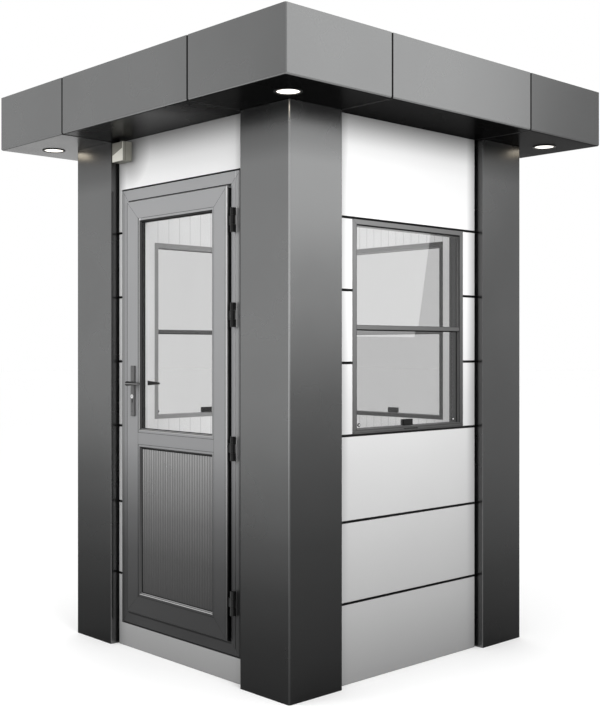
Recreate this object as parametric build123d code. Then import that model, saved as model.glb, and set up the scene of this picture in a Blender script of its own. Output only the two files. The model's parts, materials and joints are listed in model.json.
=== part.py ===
"""Composite cabin for one person, in millimetres.

The origin is on the ground under the middle of the cabin. The door wall faces
-Y, the wall seen beside it faces +X, and Z is up.
"""

from build123d import *
import os

# Plan of the cabin
footprint = 1500.0  # over the outer faces of two corner columns
column_width = 290.0  # one face of a corner column
column_sheet = 4.0  # folded sheet of the column covers
column_bend = 9.0  # outer bend of the cabin's four corners
column_inner_bend = 3.0  # outer bend where a column face turns to the wall
wall_setback = 36.0  # wall face behind the column faces
cladding_depth = 25.0  # depth of the white cassettes
core_thickness = 35.0  # insulated panel behind the cassettes
shadow_gap = 14.0  # open gap between the cassettes and the columns
cladding_joint = 8.0  # open joint between two cassettes
cassette_edge = 1.5  # eased edge round each cassette
post_wall = 4.0  # wall of the hollow corner posts
seat = 0.3  # clearance of a piece set into another
near = 1.0  # an edge is picked where its middle is this near

# Heights
soffit_height = 2326.0  # ground to the underside of the roof
foot_row = 330.0  # lowest row of cassettes
second_row = 332.0
third_row = 351.0  # the row under the window
window_zone = 890.0  # the rows beside the window together, under one last row
window_zone_rows = 3
floor_level = 130.0
floor_board_thickness = 22.0
bearer_width = 60.0
bearer_count = 5  # an odd number, so that one runs under the middle

# Roof
roof_overhang = 264.0  # fascia beyond the column faces
fascia_height = 254.0
roof_sheet = 4.0
fascia_bend = 9.0  # outer bend of the fascia's corners and lower edge
fascia_joint = 10.0
coping_width = 80.0  # top return of the fascia
roof_deck_thickness = 20.0
roof_deck_drop = 20.0  # deck below the top of the fascia
ceiling_thickness = 20.0
roof_bar = 40.0

# Downlights in the four corners of the soffit
light_offset = 80.0  # centre beyond the column faces
light_ring_diameter = 110.0
light_lens_diameter = 89.0
light_ring_depth = 3.0
light_barrel_wall = 3.0
light_barrel_height = 46.0
light_lens_thickness = 6.0

# Junction box at the top of the door wall
box_width = 85.0
box_height = 88.0
box_depth = 50.0
box_edge = 3.0
box_from_strip_end = 15.5  # box's outer side to the end of the cladding
box_below_soffit = 13.0

# Windows, the same in three walls
window_side_strip = 84.0  # cladding beside the window
window_reveal = 2.0  # open joint beside the window frame
window_face = 23.0
window_sill_face = 19.0
pane_thickness = 4.0
pane_hold = 6.0  # how far a pane goes into its track
upper_pane_depth = 6.0  # middle of the pane behind the wall face
lower_pane_depth = 20.5
meeting_rail_height = 19.0
meeting_rail_setback = 2.0
meeting_rail_depth = 12.0
meeting_rail_below_middle = 2.0
rail_hold = 1.0  # how far the meeting rail goes into the frame
drain_width = 92.0  # drain slot in the sill's face
drain_height = 4.0
drain_depth = 8.0
drain_above_foot = 8.5  # middle of the slot above the frame's foot
catch_width = 62.0
catch_height = 26.0
catch_outside = 5.0  # thickness in front of the pane
catch_inside = 10.0  # thickness behind the pane
catch_edge = 2.0
catch_above_sill = 2.0
plug_diameter = 14.0
plug_thickness = 4.0
plug_from_jamb = 29.0
plug_above_sill = 16.0

# Door frame
door_side_strip = 22.0  # cladding beside the frame
door_head_strip = 225.0  # cladding over the frame
door_sill_strip = 106.0  # cladding under the frame
door_reveal = 5.0  # open joint round the frame
door_frame_face = 53.0
door_frame_step = 30.0  # outer band of the frame's face
door_frame_step_depth = 2.0
door_stop = 28.0  # stop behind the leaf, past the frame's inner edge
door_stop_gap = 5.0

# Door leaf
leaf_side_gap = 10.0  # between the leaf and the frame's upright bars
leaf_end_gap = 6.0  # between the leaf and the frame's head and sill
leaf_proud = 18.0  # leaf face in front of the wall face
leaf_thickness = 40.0
leaf_lip = 6.0  # thickness of the leaf's overhanging edge
leaf_lip_overhang = 6.0
leaf_edge = 3.0
leaf_line_inset = 10.0  # fine groove round the leaf's face, inside its edge
leaf_line_width = 1.6
leaf_line_depth = 1.2
leaf_stile = 85.5
leaf_rail = 80.0
mid_rail_rise = 767.0  # leaf's foot to the underside of its middle rail
mid_rail_height = 53.0
bead_width = 18.0
bead_slope = 8.0  # bevel towards the pane
bead_setback = 1.0
bead_depth = 9.0
door_pane_thickness = 6.0
reed_pitch = 17.3  # between two grooves of the lower panel
deep_groove_width = 5.0  # every second groove
deep_groove_depth = 2.5
fine_groove_width = 3.0
fine_groove_depth = 1.2

# Hinges
first_hinge_rise = 158.0  # leaf's foot to the middle of a hinge
second_hinge_rise = 789.0
third_hinge_drop = 531.0  # leaf's head to the middle of a hinge
fourth_hinge_drop = 143.0
hinge_height = 100.0
hinge_offset = 23.0  # pin outside the frame's inner edge
hinge_knuckle_diameter = 20.0
hinge_pin_diameter = 9.0
hinge_gap = 1.0  # between two knuckles
hinge_bore_gap = 0.3
hinge_plate = 3.0
hinge_clear = 1.0  # knuckle in front of the plate
hinge_frame_plate_width = 18.0
hinge_leaf_plate_depth = 28.0
hinge_middle_share = 0.36

# Lock and levers
handle_height = 1211.0
handle_inset = 52.0  # spindle from the free edge of the leaf
plate_width = 28.0
plate_over_handle = 80.0
plate_under_handle = 148.0
plate_thickness = 9.0
plate_edge = 2.5
neck_diameter = 18.0
neck_gap = 0.3
neck_clear = 1.0  # lever neck off the leaf's face
spindle_side = 8.0
spindle_bore = 12.0
spindle_reach = 2.0  # spindle beyond the leaf, inside the necks
lever_length = 90.0
lever_height = 21.0  # round the spindle
lever_tip_height = 10.0
lever_thickness = 12.0
lever_standoff = 31.0  # leaf face to the near side of the lever
lever_edge = 2.5
cylinder_drop = 59.0
cylinder_diameter = 17.0
cylinder_tail_width = 10.0
cylinder_tail_drop = 24.0
cylinder_proud = 2.0

# Places that follow from the sizes above
outer = footprint / 2
column_inner = outer - column_width
wall_face = outer - wall_setback
core_face = wall_face - cladding_depth
room_face = core_face - core_thickness
roof_edge = outer + roof_overhang
roof_top = soffit_height + fascia_height
cladding_end = column_inner - shadow_gap
zone_bottom = foot_row + second_row + third_row
zone_top = zone_bottom + window_zone
joints = [foot_row, foot_row + second_row, zone_bottom]
joints += [zone_bottom + window_zone * count / window_zone_rows for count in range(1, window_zone_rows)]
joints += [zone_top]
window_bottom = zone_bottom + cladding_joint / 2
window_top = zone_top - cladding_joint / 2
window_half = cladding_end - window_side_strip - window_reveal
window_inner = window_half - window_face
door_half = cladding_end - door_side_strip - door_reveal
door_frame_bottom = door_sill_strip + door_reveal
door_frame_top = soffit_height - door_head_strip - door_reveal
jamb = door_half - door_frame_face  # inner edge of the door frame
leaf_half = jamb - leaf_side_gap
leaf_bottom = door_frame_bottom + door_frame_face + leaf_end_gap
leaf_top = door_frame_top - door_frame_face - leaf_end_gap
leaf_front = -wall_face - leaf_proud
leaf_back = leaf_front + leaf_thickness
light_half = leaf_half - leaf_stile  # half width of the holes in the leaf
mid_rail_bottom = leaf_bottom + mid_rail_rise
lower_light = (leaf_bottom + leaf_rail, mid_rail_bottom)
upper_light = (mid_rail_bottom + mid_rail_height, leaf_top - leaf_rail)
hinge_heights = [leaf_bottom + rise for rise in (first_hinge_rise, second_hinge_rise)]
hinge_heights += [leaf_top - drop for drop in (third_hinge_drop, fourth_hinge_drop)]
hinge_x = jamb + hinge_offset
hinge_plate_front = -wall_face - door_frame_step_depth - hinge_plate
hinge_y = hinge_plate_front - hinge_clear - hinge_knuckle_diameter / 2
handle_x = handle_inset - leaf_half
WALLS = {"front": 0, "right": 1, "back": 2, "left": 3}


def block(x, y, z):
    """A box between a low and a high limit on each axis."""
    spans = (x, y, z)
    middle = [(low + high) / 2 for low, high in spans]
    return Pos(*middle) * Box(*[high - low for low, high in spans])


def around(limit):
    """The span from minus a limit to plus the same limit."""
    return (-limit, limit)


def turned(shape, wall):
    """A shape modelled on the door wall, turned to another wall."""
    return Rot(0, 0, 90 * WALLS[wall]) * shape


def ring(half_width, bottom, top, face, y):
    """An upright rectangular frame with the given width of its bars."""
    whole = block(around(half_width), y, (bottom, top))
    hole = block(around(half_width - face), y, (bottom + face, top - face))
    return whole - hole


def rod(diameter, x, z, y):
    """A round bar along Y."""
    length = y[1] - y[0]
    return Pos(x, y[0] + length / 2, z) * Rot(90, 0, 0) * Cylinder(diameter / 2, length)


def save(name, *shapes):
    """Write one named piece, with every solid it is made of."""
    solids = [solid for shape in shapes for solid in shape.solids()]
    piece = solids[0] if len(solids) == 1 else Compound(solids)
    export_step(piece, f"parts/{name}.step")


def eased(cassette):
    """A cassette with the edges of its outward face taken off."""
    face = cassette.faces().sort_by(Axis.Y)[0]
    return cassette.chamfer(cassette_edge, None, face.edges())


def row_spans():
    """Low and high limit of every cassette row, with the open joints between them."""
    limits = [0.0, *joints, soffit_height]
    spans = []
    for low, high in zip(limits, limits[1:]):
        bottom = low + (cladding_joint / 2 if low > 0 else 0)
        top = high - (cladding_joint / 2 if high < soffit_height else 0)
        spans.append((bottom, top))
    return spans


def window_cladding():
    """White cassettes of a wall with a window: full rows, and short ones beside the window."""
    depth = (-wall_face, -core_face)
    cassettes = []
    for span in row_spans():
        if window_bottom < sum(span) / 2 < window_top:
            inner = window_half + window_reveal
            for side in ((-cladding_end, -inner), (inner, cladding_end)):
                cassettes.append(eased(block(side, depth, span).solid()))
        else:
            cassettes.append(eased(block(around(cladding_end), depth, span).solid()))
    return cassettes


def door_cladding():
    """White cassettes of the door wall: strips beside the frame, one piece over and under it."""
    depth = (-wall_face, -core_face)
    around_frame = block(
        around(door_half + door_reveal),
        depth,
        (door_frame_bottom - door_reveal, door_frame_top + door_reveal),
    )
    cassettes = []
    for span in row_spans():
        row = block(around(cladding_end), depth, span) - around_frame
        for cassette in row.solids():
            cassettes.append(eased(cassette))
    return cassettes


def make_walls():
    """Insulated panels with their cassettes, and the posts in the corners."""
    depth = (-core_face, -room_face)
    panel = block(around(room_face), depth, (0, soffit_height))
    window_hole = block(around(window_half + seat), depth, (window_bottom - seat, window_top + seat))
    for wall in ("right", "back", "left"):
        save(f"{wall}_wall", turned(panel - window_hole, wall))
        save(f"{wall}_cladding", *[turned(cassette, wall) for cassette in window_cladding()])
    edge = door_half + seat
    save("front_wall_left", block((-room_face, -edge), depth, (0, soffit_height)))
    save("front_wall_right", block((edge, room_face), depth, (0, soffit_height)))
    save("front_wall_top", block(around(edge), depth, (door_frame_top + seat, soffit_height)))
    save("front_wall_sill", block(around(edge), depth, (0, door_frame_bottom - seat)))
    save("front_cladding", *door_cladding())

    post = block((room_face, wall_face), (-wall_face, -room_face), (0, soffit_height))
    bore = block(
        (room_face + post_wall, wall_face - post_wall),
        (-wall_face + post_wall, -room_face - post_wall),
        (0, soffit_height),
    )
    save("corner_posts", *[turned(post - bore, wall) for wall in WALLS])


def make_floor():
    """Floor board on parallel steel bearers, inside the walls."""
    board = (floor_level - floor_board_thickness, floor_level)
    edge = room_face - seat
    save("floor_board", block(around(edge), around(edge), board))
    pitch = (2 * edge - bearer_width) / (bearer_count - 1)
    bearers = []
    for count in range(bearer_count):
        left = count * pitch - edge
        bearers.append(block((left, left + bearer_width), around(edge), (0, board[0])))
    save("floor_chassis", *bearers)


def make_columns():
    """Folded covers round the four corners, with a return to the wall panels on both sides."""
    corner = block((column_inner, outer), (-outer, -column_inner), (0, soffit_height))
    corner = fillet(corner.edges().filter_by(Axis.Z).group_by(Axis.X)[-1].sort_by(Axis.Y)[0], column_bend)
    for edge in ((column_inner, -outer), (outer, -column_inner)):
        bend = [
            line
            for line in corner.edges().filter_by(Axis.Z)
            if abs(line.center().X - edge[0]) < near and abs(line.center().Y - edge[1]) < near
        ]
        corner = fillet(bend, column_inner_bend)
    inside = block(
        (column_inner + column_sheet, outer - column_sheet),
        (-outer + column_sheet, -column_inner - column_sheet),
        (0, soffit_height),
    )
    behind = block((column_inner, core_face), (-core_face, -column_inner), (0, soffit_height))
    cover = corner - inside - behind
    names = {"front": "front_right", "right": "back_right", "back": "back_left", "left": "front_left"}
    for wall, name in names.items():
        save(f"{name}_column", turned(cover, wall))


def fascia_shell(x, y, open_sides):
    """A folded roof cassette: outer faces, soffit and top return; open_sides face the roof."""
    shell = block(x, y, (soffit_height, roof_top))
    low_front = [
        line
        for line in shell.edges()
        if abs(line.center().Y - y[0]) < near and abs(line.center().Z - soffit_height) < near
    ]
    bends = list(low_front)
    if "x" not in open_sides:
        bends += [
            line
            for line in shell.edges()
            if abs(line.center().X - x[1]) < near
            and (abs(line.center().Z - soffit_height) < near or abs(line.center().Y - y[0]) < near)
        ]
    shell = fillet(bends, fascia_bend)
    far_x = x[1] if "x" in open_sides else x[1] - roof_sheet
    top_x = x[1] if "x" in open_sides else x[1] - coping_width
    inside = block((x[0], far_x), (y[0] + roof_sheet, y[1]), (soffit_height + roof_sheet, roof_top - roof_sheet))
    mouth = block((x[0], top_x), (y[0] + coping_width, y[1]), (roof_top - roof_sheet, roof_top))
    return shell - inside - mouth


def make_roof():
    """Four fascia lengths, four corners, the deck, the ceiling and the bars between them."""
    ceiling_half = core_face
    middle = fascia_shell(
        around(column_inner - fascia_joint), (-roof_edge, -ceiling_half - seat), ("x", "y")
    )
    corner = fascia_shell((column_inner, roof_edge), (-roof_edge, -column_inner), ("y",))
    over_walls = block(
        (column_inner, ceiling_half + seat),
        (-ceiling_half - seat, -column_inner),
        (soffit_height, roof_top),
    )
    light = outer + light_offset
    hole_radius = light_lens_diameter / 2 + light_barrel_wall + seat
    hole = Pos(light, -light, soffit_height) * Cylinder(hole_radius, light_barrel_height)
    corner = corner - over_walls - hole
    names = {"front": "front_right", "right": "back_right", "back": "back_left", "left": "front_left"}
    for wall, name in names.items():
        save(f"fascia_{wall}", turned(middle, wall))
        save(f"fascia_corner_{name}", turned(corner, wall))

    ceiling_top = soffit_height + ceiling_thickness
    save("ceiling", block(around(ceiling_half), around(ceiling_half), (soffit_height, ceiling_top)))
    edge = roof_edge - roof_sheet - seat
    deck_top = roof_top - roof_deck_drop
    deck = (deck_top - roof_deck_thickness, deck_top)
    save("roof_deck", block(around(edge), around(edge), deck))

    height = (ceiling_top, deck[0])
    bars = block(around(edge), around(edge), height) - block(
        around(edge - roof_bar), around(edge - roof_bar), height
    )
    for place in (-room_face, 0, room_face):
        across = (place - roof_bar / 2, place + roof_bar / 2)
        bars += block(across, around(edge), height) + block(around(edge), across, height)
    save("roof_frame", bars)


def make_downlights():
    """A ring and a lens in the soffit beyond each column."""
    place = outer + light_offset
    barrel = light_lens_diameter / 2 + light_barrel_wall
    flange = Pos(0, 0, -light_ring_depth / 2) * Cylinder(light_ring_diameter / 2, light_ring_depth)
    flange = chamfer(flange.edges().sort_by(Axis.Z)[0], light_ring_depth / 2)
    tube = Pos(0, 0, light_barrel_height / 2) * Cylinder(barrel, light_barrel_height)
    bore = Cylinder(light_lens_diameter / 2 + seat, 2 * light_barrel_height - 2 * light_barrel_wall)
    fitting = Pos(place, -place, soffit_height) * (flange + tube - bore)
    lens_depth = soffit_height + light_lens_thickness / 2
    lens = Pos(place, -place, lens_depth) * Cylinder(light_lens_diameter / 2, light_lens_thickness)
    save("downlight_rings", *[turned(fitting, wall) for wall in WALLS])
    save("downlight_lenses", *[turned(lens, wall) for wall in WALLS])


def make_junction_box():
    """Small closed box on the door wall, under the soffit."""
    top = soffit_height - box_below_soffit
    left = box_from_strip_end - cladding_end
    body = block(
        (left, left + box_width),
        (-wall_face - box_depth, -wall_face),
        (top - box_height, top),
    )
    front = body.faces().sort_by(Axis.Y)[0]
    save("junction_box", fillet(front.edges(), box_edge))


def make_windows():
    """A frame with two tracks and a meeting rail, two panes, and the catch of the lower pane."""
    face_y = -wall_face
    sill = window_bottom + window_sill_face
    head = window_top - window_face
    frame = block(around(window_half), (face_y, -room_face), (window_bottom, window_top))
    frame -= block(around(window_inner), (face_y, -room_face), (sill, head))
    middle = (window_bottom + window_top) / 2 - meeting_rail_below_middle
    rail = (middle - meeting_rail_height / 2, middle + meeting_rail_height / 2)
    rail_y = (face_y + meeting_rail_setback, face_y + meeting_rail_setback + meeting_rail_depth)
    frame += block(around(window_inner + rail_hold), rail_y, rail)
    drain = window_bottom + drain_above_foot
    drain_z = (drain - drain_height / 2, drain + drain_height / 2)
    frame -= block(around(drain_width / 2), (face_y, face_y + drain_depth), drain_z)

    def pane_slab(depth, bottom, top, room):
        half = pane_thickness / 2 + room
        reach = pane_hold + room
        y = (face_y + depth - half, face_y + depth + half)
        return block(around(window_inner + reach), y, (bottom - reach, top + reach))

    frame -= pane_slab(upper_pane_depth, rail[1], head, seat)
    frame -= pane_slab(lower_pane_depth, sill, head, seat)
    upper = pane_slab(upper_pane_depth, rail[1], head, 0)
    lower = pane_slab(lower_pane_depth, sill, rail[1] - pane_hold, 0)

    glass_front = face_y + lower_pane_depth - pane_thickness / 2
    glass_back = glass_front + pane_thickness
    catch_z = (sill + catch_above_sill, sill + catch_above_sill + catch_height)
    outside = block(around(catch_width / 2), (glass_front - catch_outside, glass_front), catch_z)
    outside = chamfer(outside.faces().sort_by(Axis.Y)[0].edges(), catch_edge)
    inside = block(around(catch_width / 2), (glass_back, glass_back + catch_inside), catch_z)
    inside = chamfer(inside.faces().sort_by(Axis.Y)[-1].edges(), catch_edge)
    plug_x = window_inner - plug_from_jamb
    plug_y = (glass_front - plug_thickness, glass_front)
    plugs = [rod(plug_diameter, x, sill + plug_above_sill, plug_y) for x in (-plug_x, plug_x)]
    catches = []
    for wall in ("right", "back", "left"):
        save(f"{wall}_window_frame", turned(frame, wall))
        save(f"{wall}_window_glass", turned(upper, wall), turned(lower, wall))
        catches += [turned(piece, wall) for piece in (outside, inside, *plugs)]
    save("window_catches", *catches)


def make_door_frame():
    """Mitred frame in the doorway, with a stepped face and a stop behind the leaf."""
    bottom = door_frame_bottom
    top = door_frame_top
    stop_y = leaf_back + door_stop_gap
    front = ring(door_half, bottom, top, door_frame_face, (-wall_face, stop_y))
    stop = ring(door_half, bottom, top, door_frame_face + door_stop, (stop_y, -room_face))
    raised = ring(
        door_half - door_frame_step,
        bottom + door_frame_step,
        top - door_frame_step,
        door_frame_face - door_frame_step,
        (-wall_face - door_frame_step_depth, -wall_face),
    )
    save("door_frame", front + stop + raised)


def door_rebate(light):
    """The hole for a pane or panel in the leaf, wide in front and narrow behind the pane."""
    pane_back = leaf_front + bead_setback + bead_depth + door_pane_thickness
    wide = block(around(light_half), (leaf_front, pane_back), light)
    narrow = block(
        around(light_half - bead_width), (pane_back, leaf_back), (light[0] + bead_width, light[1] - bead_width)
    )
    return wide + narrow


def reeded_panel(y):
    """The lower panel, with deep and fine upright grooves in turn on its outward face."""
    edge = light_half - seat
    outline = [(-edge, y[1]), (-edge, y[0])]
    reach = int((light_half - bead_width) / reed_pitch)
    for number in range(-reach, reach + 1):
        deep = number % 2 == 0
        half = (deep_groove_width if deep else fine_groove_width) / 2
        depth = deep_groove_depth if deep else fine_groove_depth
        x = number * reed_pitch
        outline += [(x - half, y[0]), (x, y[0] + depth), (x + half, y[0])]
    outline += [(edge, y[0]), (edge, y[1])]
    bottom = lower_light[0] + seat
    section = Pos(0, 0, bottom) * make_face(Polyline(*outline, close=True))
    return extrude(section, lower_light[1] - seat - bottom, (0, 0, 1))


def make_door():
    """The leaf with its pane, reeded panel and beads."""
    lip_y = (leaf_front, leaf_front + leaf_lip)
    lip = block(around(leaf_half), lip_y, (leaf_bottom, leaf_top))
    lip = fillet(lip.faces().sort_by(Axis.Y)[0].edges(), leaf_edge)
    lip -= ring(
        leaf_half - leaf_line_inset,
        leaf_bottom + leaf_line_inset,
        leaf_top - leaf_line_inset,
        leaf_line_width,
        (leaf_front, leaf_front + leaf_line_depth),
    )
    body = block(
        around(leaf_half - leaf_lip_overhang),
        (lip_y[1], leaf_back),
        (leaf_bottom + leaf_lip_overhang, leaf_top - leaf_lip_overhang),
    )
    leaf = lip + body
    leaf -= door_rebate(lower_light)
    leaf -= door_rebate(upper_light)
    leaf -= rod(spindle_bore, handle_x, handle_height, (leaf_front, leaf_back))
    leaf -= cylinder_profile(seat, (leaf_front, leaf_back))
    save("door_leaf", leaf)

    bead_y = (leaf_front + bead_setback, leaf_front + bead_setback + bead_depth)
    beads = []
    for bottom, top in (lower_light, upper_light):
        bead = ring(light_half - seat, bottom + seat, top - seat, bead_width - seat, bead_y)
        face = bead.faces().sort_by(Axis.Y)[0]
        beads.append(chamfer(face.inner_wires()[0].edges(), bead_slope))
    save("door_beads", *beads)

    pane_y = (bead_y[1], bead_y[1] + door_pane_thickness)
    save("door_glass", block(around(light_half - seat), pane_y, (upper_light[0] + seat, upper_light[1] - seat)))
    save("door_panel", reeded_panel(pane_y))


def make_hinges():
    """Four hinges: two outer knuckles and the pin on the frame, the middle knuckle on the leaf."""
    frame_side = []
    leaf_side = []
    middle = hinge_height * hinge_middle_share
    radius = hinge_knuckle_diameter / 2
    plate_start = hinge_x - hinge_plate / 2
    edge_x = leaf_half - leaf_lip_overhang
    arm_y = leaf_front + leaf_lip
    for height in hinge_heights:
        whole = (height - hinge_height / 2, height + hinge_height / 2)
        inner = (height - middle / 2, height + middle / 2)
        opening = (inner[0] - hinge_gap, inner[1] + hinge_gap)
        here = Pos(hinge_x, hinge_y, height)

        knuckles = here * Cylinder(radius, hinge_height)
        web = block((plate_start, hinge_x + radius), (hinge_y, hinge_plate_front), whole)
        cut = block(around(radius + hinge_x), (hinge_y - 2 * radius, hinge_plate_front), opening)
        plate = block(
            (plate_start, plate_start + hinge_frame_plate_width),
            (hinge_plate_front, hinge_plate_front + hinge_plate),
            whole,
        )
        pin = here * Cylinder(hinge_pin_diameter / 2, hinge_height)
        frame_side.append(knuckles + web - cut + plate + pin)

        knuckle = here * Cylinder(radius, middle)
        arm = block((edge_x, hinge_x), (arm_y, arm_y + hinge_plate), inner)
        flap = block((edge_x, edge_x + hinge_plate), (arm_y, arm_y + hinge_leaf_plate_depth), inner)
        bore = here * Cylinder(hinge_pin_diameter / 2 + hinge_bore_gap, hinge_height)
        leaf_side.append(knuckle + arm + flap - bore)
    save("hinges_frame_side", *frame_side)
    save("hinges_leaf_side", *leaf_side)


def cylinder_profile(room, y):
    """The outline of the lock cylinder along Y: round above, a narrow tail below."""
    height = handle_height - cylinder_drop
    barrel = rod(cylinder_diameter + 2 * room, handle_x, height, y)
    half = cylinder_tail_width / 2 + room
    foot = height - cylinder_tail_drop
    tail = block((handle_x - half, handle_x + half), y, (foot, height))
    toe = rod(cylinder_tail_width + 2 * room, handle_x, foot, y)
    return barrel + tail + toe


def make_lock():
    """Long plates on both faces of the leaf, the lock cylinder and the two levers on a spindle."""
    plates = []
    levers = block(
        (handle_x - spindle_side / 2, handle_x + spindle_side / 2),
        (leaf_front - spindle_reach, leaf_back + spindle_reach),
        (handle_height - spindle_side / 2, handle_height + spindle_side / 2),
    )
    for side, face in ((-1, leaf_front), (1, leaf_back)):
        depth = sorted((face, face + side * plate_thickness))
        plate = block(
            (handle_x - plate_width / 2, handle_x + plate_width / 2),
            depth,
            (handle_height - plate_under_handle, handle_height + plate_over_handle),
        )
        away = plate.faces().sort_by(Axis.Y)[0 if side < 0 else -1]
        plate = chamfer(away.edges(), plate_edge)
        plate -= rod(neck_diameter + 2 * neck_gap, handle_x, handle_height, depth)
        plate -= cylinder_profile(seat, depth)
        plates.append(plate)

        start = face + side * lever_standoff
        neck = sorted((face + side * neck_clear, start + side * lever_thickness / 2))
        levers += rod(neck_diameter, handle_x, handle_height, neck)
        levers += lever_bar(sorted((start, start + side * lever_thickness)), side)
    save("door_plates", *plates)
    save("lock_cylinder", cylinder_profile(0, (
        leaf_front - plate_thickness - cylinder_proud,
        leaf_back + plate_thickness + cylinder_proud,
    )))
    save("lever_handle", levers)


def lever_bar(y, side):
    """A lever that is wide and round at the neck and slim at the tip, eased on its outward face."""
    root = lever_height / 2
    tip = lever_tip_height / 2
    reach = lever_length - tip
    across = (root - tip) / reach  # sine of the slope of the long sides
    rise = (1 - across**2) ** 0.5
    root_top = (root * across, root * rise)
    root_low = (root * across, -root * rise)
    tip_top = (reach + tip * across, tip * rise)
    tip_low = (reach + tip * across, -tip * rise)
    outline = Line(root_top, tip_top) + ThreePointArc(tip_top, (lever_length, 0), tip_low)
    outline += Line(tip_low, root_low) + ThreePointArc(root_low, (-root, 0), root_top)
    plane = Plane(origin=(handle_x, y[1], handle_height), x_dir=(1, 0, 0), z_dir=(0, -1, 0))
    bar = extrude(plane * make_face(outline.edges()), amount=y[1] - y[0])
    away = bar.faces().sort_by(Axis.Y)[0 if side < 0 else -1]
    return chamfer(away.edges(), lever_edge)


make_floor()
make_walls()
make_columns()
make_roof()
make_downlights()
make_junction_box()
make_windows()
make_door_frame()
make_door()
make_hinges()
make_lock()
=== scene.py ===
import json
import math

import bmesh
import bpy
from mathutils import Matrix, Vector


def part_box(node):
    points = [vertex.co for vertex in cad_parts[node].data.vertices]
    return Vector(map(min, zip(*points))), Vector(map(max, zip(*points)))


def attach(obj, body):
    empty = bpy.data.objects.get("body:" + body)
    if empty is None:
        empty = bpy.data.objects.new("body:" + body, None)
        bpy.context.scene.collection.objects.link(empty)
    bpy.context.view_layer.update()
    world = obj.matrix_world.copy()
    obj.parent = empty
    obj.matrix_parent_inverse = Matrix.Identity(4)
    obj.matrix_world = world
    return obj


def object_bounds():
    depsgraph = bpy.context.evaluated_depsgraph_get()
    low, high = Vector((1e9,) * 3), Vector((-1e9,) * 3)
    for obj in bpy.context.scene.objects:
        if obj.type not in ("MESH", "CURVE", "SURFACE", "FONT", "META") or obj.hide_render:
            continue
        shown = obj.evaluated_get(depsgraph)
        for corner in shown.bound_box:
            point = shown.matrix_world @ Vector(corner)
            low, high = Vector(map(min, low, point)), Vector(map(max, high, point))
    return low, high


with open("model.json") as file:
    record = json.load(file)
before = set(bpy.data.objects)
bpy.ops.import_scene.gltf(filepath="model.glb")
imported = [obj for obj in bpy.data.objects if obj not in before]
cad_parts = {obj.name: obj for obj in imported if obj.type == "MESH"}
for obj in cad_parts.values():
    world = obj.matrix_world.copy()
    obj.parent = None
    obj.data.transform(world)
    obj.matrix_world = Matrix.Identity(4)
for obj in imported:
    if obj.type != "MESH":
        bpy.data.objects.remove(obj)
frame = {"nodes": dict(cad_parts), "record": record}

CAD_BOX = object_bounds()
NODES = frame["nodes"]
WALLS = ("front", "right", "back", "left")

# Camera of the photograph, solved from its straight edges
CAMERA_PLACE = (3.83814, -3.63279, 1.36213)
CAMERA_AZIMUTH = math.radians(47.346)
FOCAL_PIXELS = 1103.99
PRINCIPAL = (282.004, 350.021)
FRAME_SIZE = (600, 706)
SENSOR = 36.0


def corners(node):
    """The low and the high corner of a node's box."""
    low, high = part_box(node)
    return Vector(low), Vector(high)


def leaf_opening(node):
    """The foot and head of the opening in the leaf that a pane or panel closes."""
    low, high = corners(node)
    return low.z - SEAT, high.z + SEAT


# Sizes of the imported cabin, in metres
SEAT = 0.0003  # clearance of a piece set into another
WALL_FACE = corners("right_cladding")[1].x
CORE_FACE = corners("right_cladding")[0].x
CLADDING_END = corners("right_cladding")[1].y
ROOM_FACE = corners("right_wall")[0].x
COLUMN_FACE = corners("front_right_column")[1].x
FOLD_EDGE = COLUMN_FACE - 0.03  # the folds by the walls lie nearer the middle
JOINT_END = corners("front_right_column")[0].x
SOFFIT = corners("ceiling")[0].z
SOFFIT_BAND = 0.002  # what counts as the soffit, above and below it
ROOF_EDGE = CAD_BOX[1][0]
ROOF_TOP = CAD_BOX[1][2]
LAMP_PLACE = COLUMN_FACE + 0.08

LEAF_LOW, LEAF_HIGH = corners("door_leaf")
LEAF_FRONT = LEAF_LOW.y
LEAF_HALF = LEAF_HIGH.x
LEAF_FOOT = LEAF_LOW.z
LEAF_HEAD = LEAF_HIGH.z
LIGHT_HALF = corners("door_beads")[1].x + SEAT
LIGHTS = (leaf_opening("door_panel"), leaf_opening("door_glass"))
BEAD_WIDTH = 0.018
PANE_FRONT = corners("door_glass")[0].y
FRAME_LOW, FRAME_HIGH = corners("door_frame")
DOOR_HALF = FRAME_HIGH.x
DOOR_FOOT = FRAME_LOW.z
DOOR_HEAD = FRAME_HIGH.z
STEP_FRONT = FRAME_LOW.y  # the part of the frame's face that stands out
DOOR_STEP = 0.03  # width of the band outside it
DOOR_FACE = 0.053
HINGE_PLATE = STEP_FRONT - 0.003
JOINTS = {joint["name"]: joint for joint in frame["record"]["behaviour"]["joints"]}
HANDLE_X, _, HANDLE_HEIGHT = JOINTS["lever_turn"]["pos_m"]
LOCK_HEIGHT = HANDLE_HEIGHT - 0.059
PLATE_FRONT = corners("door_plates")[0].y
PLATE_BACK = corners("door_plates")[1].y
CYLINDER_FRONT = corners("lock_cylinder")[0].y
CYLINDER_BACK = corners("lock_cylinder")[1].y

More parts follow.
